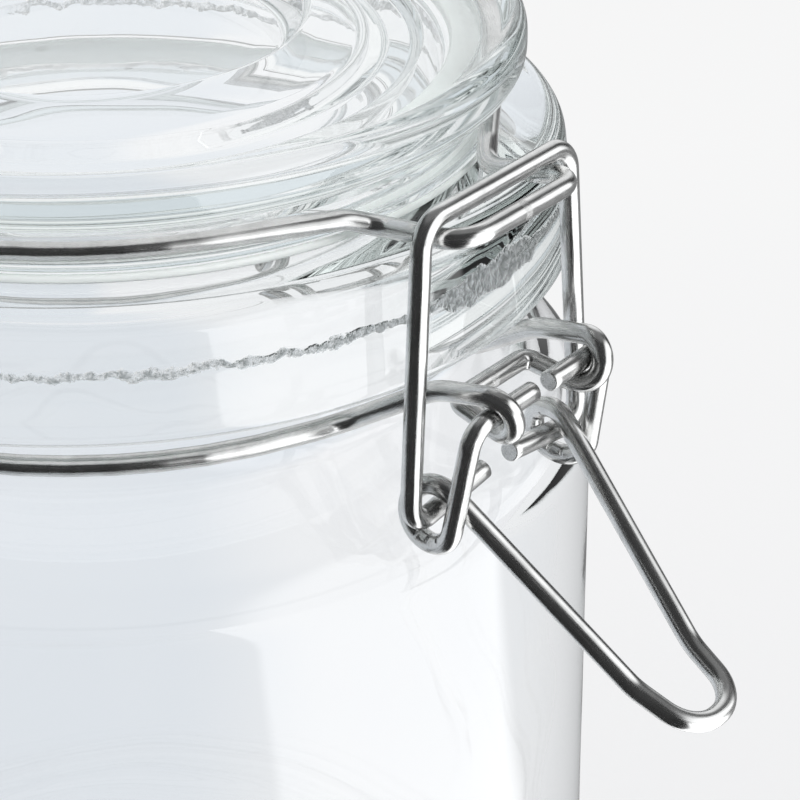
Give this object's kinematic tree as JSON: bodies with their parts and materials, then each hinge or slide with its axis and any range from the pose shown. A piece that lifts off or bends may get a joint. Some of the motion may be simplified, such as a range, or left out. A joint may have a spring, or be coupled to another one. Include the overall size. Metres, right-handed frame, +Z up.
{
  "type": "clip-top jar",
  "caption": "Clear glass jar with a pressed glass lid held shut on a clear seal by a bent-wire over-centre clasp in front and a wire hinge behind.",
  "frame": {"origin": "on the jar's axis, in the plane that the jar stands on", "axes": "+Z is up along the jar's axis, the clasp faces -Y and the hinge +Y, and the plane X = 0 halves the jar and its wires"},
  "size_m": [0.12, 0.1599, 0.1495],
  "materials": {
    "jar_glass": "clear pressed glass",
    "lid_glass": "clear pressed glass",
    "seal": "clear silicone",
    "neck_wire": "bright drawn wire",
    "lid_wire": "bright drawn wire",
    "lever_wire": "bright drawn wire",
    "bail_wire": "bright drawn wire"
  },
  "bodies": {
    "root": {"jar_glass": "jar_glass", "lid_glass": "lid_glass", "seal_ring": "seal", "neck_wire": "neck_wire", "lid_wire": "lid_wire", "lever": "lever_wire"},
    "bail": {"bail": "bail_wire"}
  },
  "joints": [
    {"name": "bail_swing", "type": "hinge", "parent": "root", "child": "bail", "pos_m": [0, -0.0593, 0.1073], "axis": [1, 0, 0], "range_deg": [0, 100]}
  ]
}
